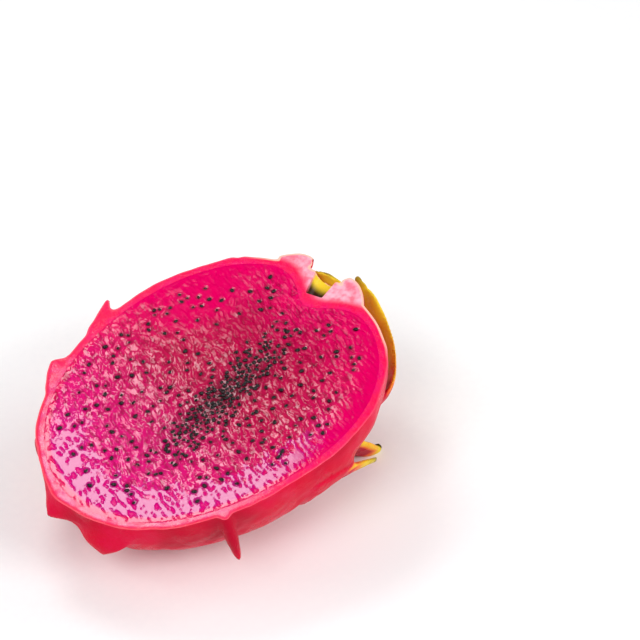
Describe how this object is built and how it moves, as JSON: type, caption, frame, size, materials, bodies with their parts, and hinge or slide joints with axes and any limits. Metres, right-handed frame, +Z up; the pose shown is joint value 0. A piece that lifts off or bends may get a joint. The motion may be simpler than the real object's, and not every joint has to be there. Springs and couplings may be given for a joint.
{
  "type": "halved red dragon fruit",
  "caption": "Half of a red dragon fruit cut lengthwise, cut side up: wet red flesh speckled with black seeds in a pink rind with leafy pointed scales.",
  "frame": {"origin": "on the floor under the centre of the part's bounding box", "axes": "+Z up; +X along the fruit, level, towards the blossom end; +Y across the fruit, to the left of +X seen from above. The cut face looks up, tilted 10 degrees back towards the stem end."},
  "size_m": [0.1204, 0.0932, 0.0469],
  "materials": {
    "rind": "smooth waxy pink-red skin, paler where it is cut, with yellow-green scale tips",
    "flesh": "wet magenta flesh with glossy black seeds"
  },
  "bodies": {
    "root": {"rind": "rind", "flesh": "flesh"}
  },
  "joints": []
}
